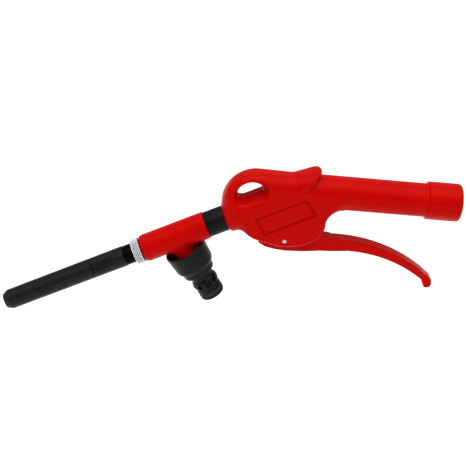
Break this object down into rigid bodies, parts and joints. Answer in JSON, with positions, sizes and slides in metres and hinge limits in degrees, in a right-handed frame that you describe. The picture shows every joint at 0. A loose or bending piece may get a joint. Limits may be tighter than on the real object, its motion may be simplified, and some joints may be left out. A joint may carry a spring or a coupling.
{
  "type": "air and water wash gun",
  "caption": "Pistol-grip wash gun with a finger lever, hang hole, straight nozzle tube with a knurled lock ring, and a side tee with a garden-hose quick connector.",
  "frame": {"origin": "centre of the air inlet's mouth, at the free end of the handle", "axes": "+X out of the inlet mouth along the handle, +Z towards the thumb side, XZ is the mid-plane"},
  "size_m": [0.2866, 0.0268, 0.118],
  "materials": {
    "red_plastic": "satin-gloss moulded red plastic",
    "black_plastic": "satin charcoal moulded plastic",
    "black_metal": "black anodised aluminium tube",
    "knurled_zinc": "zinc-plated, diamond knurled",
    "steel": "drawn steel",
    "brass": "turned brass",
    "rubber": "matt black seal rubber"
  },
  "bodies": {
    "gun": {"gun_body": "red_plastic", "inlet_insert": "brass", "pivot_pin": "steel", "valve_seat": "brass", "seat_o_ring": "rubber", "gland_bush": "brass", "stem_o_ring": "rubber", "nose_tube": "black_plastic", "nose_o_ring": "rubber", "air_jet": "brass", "jet_o_ring": "rubber", "tee_body": "red_plastic", "tee_o_ring": "rubber", "hose_connector": "black_plastic", "connector_washer": "rubber", "nipple_o_ring": "rubber"},
    "trigger": {"trigger_lever": "red_plastic"},
    "valve": {"valve_stem": "steel", "valve_poppet": "brass", "poppet_seal": "rubber", "valve_spring": "steel"},
    "ring": {"lock_ring": "knurled_zinc"},
    "nozzle": {"nozzle_tube": "black_metal", "nozzle_o_ring": "rubber"}
  },
  "joints": [
    {"name": "trigger_hinge", "type": "hinge", "parent": "gun", "child": "trigger", "pos_m": [-0.1109, 0, -0.0327], "axis": [0, -1, 0], "range_deg": [0, 16], "stiffness_Nm_per_rad": 0.3, "springref_deg": -22.92},
    {"name": "valve_slide", "type": "slide", "parent": "gun", "child": "valve", "axis": [0, 0, 1], "range_m": [0, 0.0034], "deforming": ["valve_spring"]},
    {"name": "lock_ring_turn", "type": "hinge", "parent": "gun", "child": "ring", "pos_m": [-0.20234, 0, -0.05301], "axis": [-0.8788, 0, -0.4772], "continuous": true},
    {"name": "nozzle_turn", "type": "hinge", "parent": "gun", "child": "nozzle", "pos_m": [-0.23652, 0, -0.07157], "axis": [-0.8788, 0, -0.4772], "continuous": true}
  ],
  "couplings": [
    {"joint": "valve_slide", "follows": "trigger_hinge", "m_per_rad": 0.012046}
  ]
}
